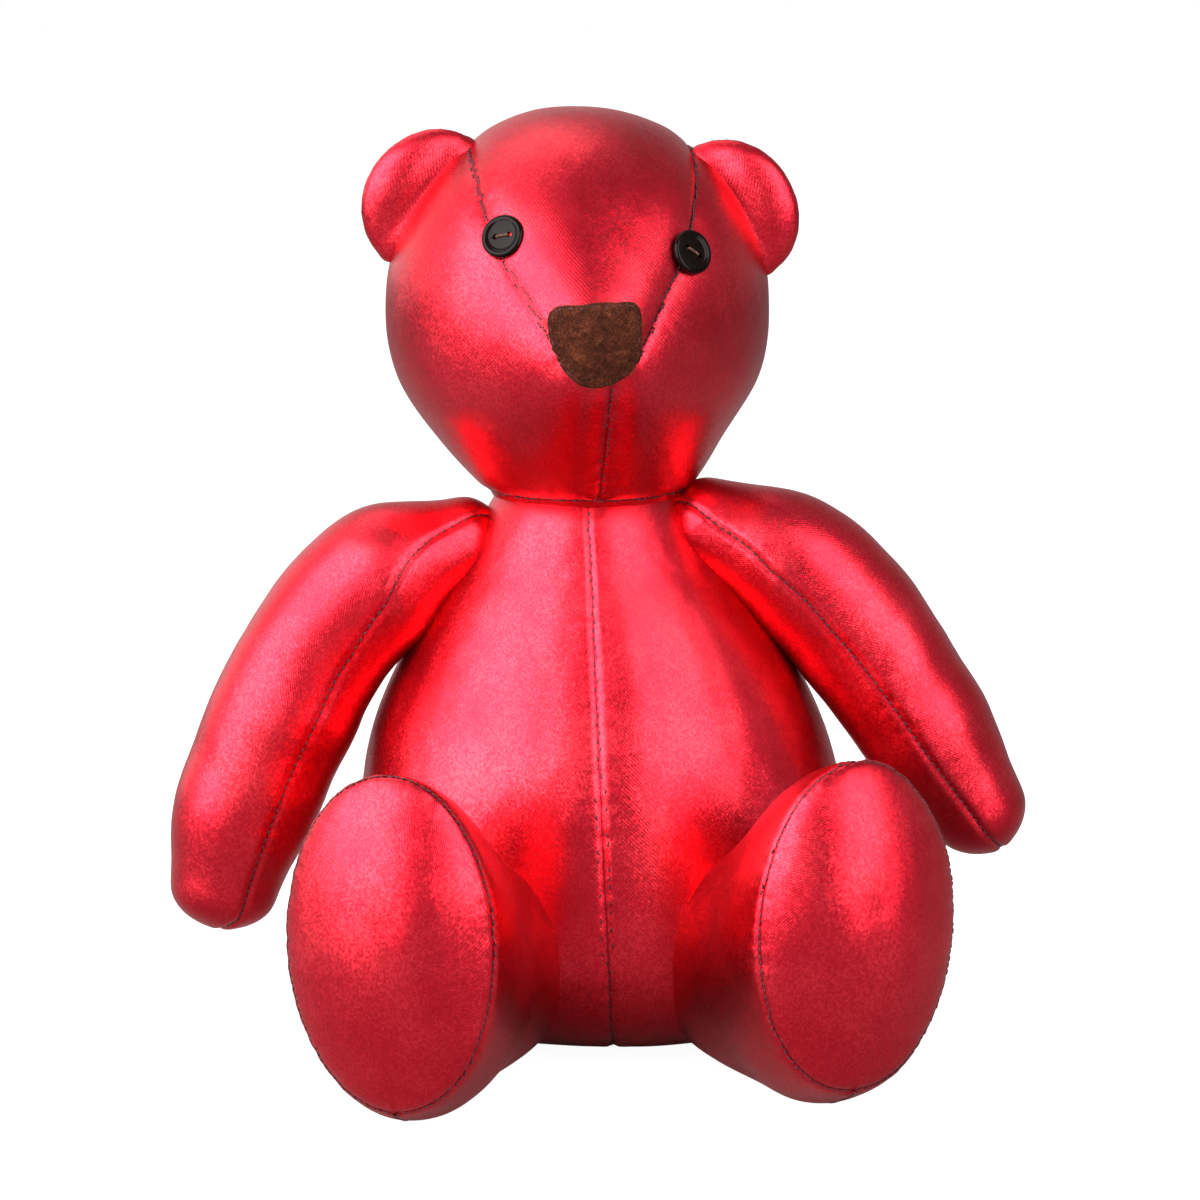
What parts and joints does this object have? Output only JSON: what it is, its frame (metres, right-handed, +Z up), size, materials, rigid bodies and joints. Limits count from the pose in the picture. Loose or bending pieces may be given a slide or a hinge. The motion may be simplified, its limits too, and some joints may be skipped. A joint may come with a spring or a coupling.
{
  "type": "stuffed toy bear",
  "caption": "Seated soft toy bear sewn from metallic fabric panels over filling, with button eyes and a felt nose; head, arms, legs and ears flex at their seams.",
  "frame": {"origin": "on the flat base panel under the torso, midway between the two legs", "axes": "+Z up through the head, the bear faces -Y, and its own left side is +X"},
  "size_m": [0.2566, 0.1907, 0.2786],
  "materials": {
    "metallic_fabric": "foil-coated woven fabric with a broad metallic gloss and fine glitter",
    "filling": "white polyester fibre",
    "felt": "matt wool felt, slightly hairy",
    "button": "polished dark brown resin",
    "thread": "twisted sewing thread",
    "pellet_pouch": "plain woven cotton"
  },
  "bodies": {
    "torso": {"torso_front_left": "metallic_fabric", "torso_front_right": "metallic_fabric", "torso_back_left": "metallic_fabric", "torso_back_right": "metallic_fabric", "torso_base": "metallic_fabric", "torso_stuffing": "filling", "seat_pellet_pouch": "pellet_pouch"},
    "neck": {"neck_wad": "filling"},
    "head": {"head_gusset": "metallic_fabric", "head_left_side": "metallic_fabric", "head_right_side": "metallic_fabric", "head_stuffing": "filling", "left_eye_button": "button", "right_eye_button": "button", "left_eye_thread": "thread", "right_eye_thread": "thread", "nose_felt": "felt"},
    "left_ear": {"left_ear_front": "metallic_fabric", "left_ear_back": "metallic_fabric", "left_ear_stuffing": "filling"},
    "right_ear": {"right_ear_front": "metallic_fabric", "right_ear_back": "metallic_fabric", "right_ear_stuffing": "filling"},
    "left_arm": {"left_arm_outer": "metallic_fabric", "left_arm_inner": "metallic_fabric", "left_arm_stuffing": "filling"},
    "right_arm": {"right_arm_outer": "metallic_fabric", "right_arm_inner": "metallic_fabric", "right_arm_stuffing": "filling"},
    "left_leg": {"left_leg_sole": "metallic_fabric", "left_leg_outer": "metallic_fabric", "left_leg_inner": "metallic_fabric", "left_leg_stuffing": "filling"},
    "right_leg": {"right_leg_sole": "metallic_fabric", "right_leg_outer": "metallic_fabric", "right_leg_inner": "metallic_fabric", "right_leg_stuffing": "filling"}
  },
  "joints": [
    {"name": "head_nod", "type": "hinge", "parent": "torso", "child": "neck", "pos_m": [-0.00743, 0, 0.144], "axis": [1, 0, 0], "range_deg": [-10, 10], "stiffness_Nm_per_rad": 1.5},
    {"name": "head_turn", "type": "hinge", "parent": "neck", "child": "head", "pos_m": [-0.00743, 0, 0.144], "axis": [0, 0, 1], "range_deg": [-15, 15], "stiffness_Nm_per_rad": 0.4},
    {"name": "left_arm_lift", "type": "hinge", "parent": "torso", "child": "left_arm", "pos_m": [0.029, -0.002, 0.152], "axis": [0, -1, 0], "range_deg": [0, 40], "stiffness_Nm_per_rad": 0.2},
    {"name": "right_arm_lift", "type": "hinge", "parent": "torso", "child": "right_arm", "pos_m": [-0.044, -0.002, 0.15], "axis": [0, 1, 0], "range_deg": [0, 40], "stiffness_Nm_per_rad": 0.2},
    {"name": "left_leg_lift", "type": "hinge", "parent": "torso", "child": "left_leg", "pos_m": [0.037, -0.022, 0.03], "axis": [-0.9391, -0.3436, 0], "range_deg": [0, 20], "stiffness_Nm_per_rad": 0.6},
    {"name": "right_leg_lift", "type": "hinge", "parent": "torso", "child": "right_leg", "pos_m": [-0.038, -0.024, 0.03], "axis": [-0.9701, 0.2425, 0], "range_deg": [0, 20], "stiffness_Nm_per_rad": 0.6},
    {"name": "left_ear_fold", "type": "hinge", "parent": "head", "child": "left_ear", "pos_m": [0.035, -0.008, 0.2485], "axis": [0.5111, 0, -0.8595], "range_deg": [-15, 15], "stiffness_Nm_per_rad": 0.02},
    {"name": "right_ear_fold", "type": "hinge", "parent": "head", "child": "right_ear", "pos_m": [-0.0545, -0.008, 0.25175], "axis": [0.5981, 0, 0.8014], "range_deg": [-15, 15], "stiffness_Nm_per_rad": 0.02}
  ]
}
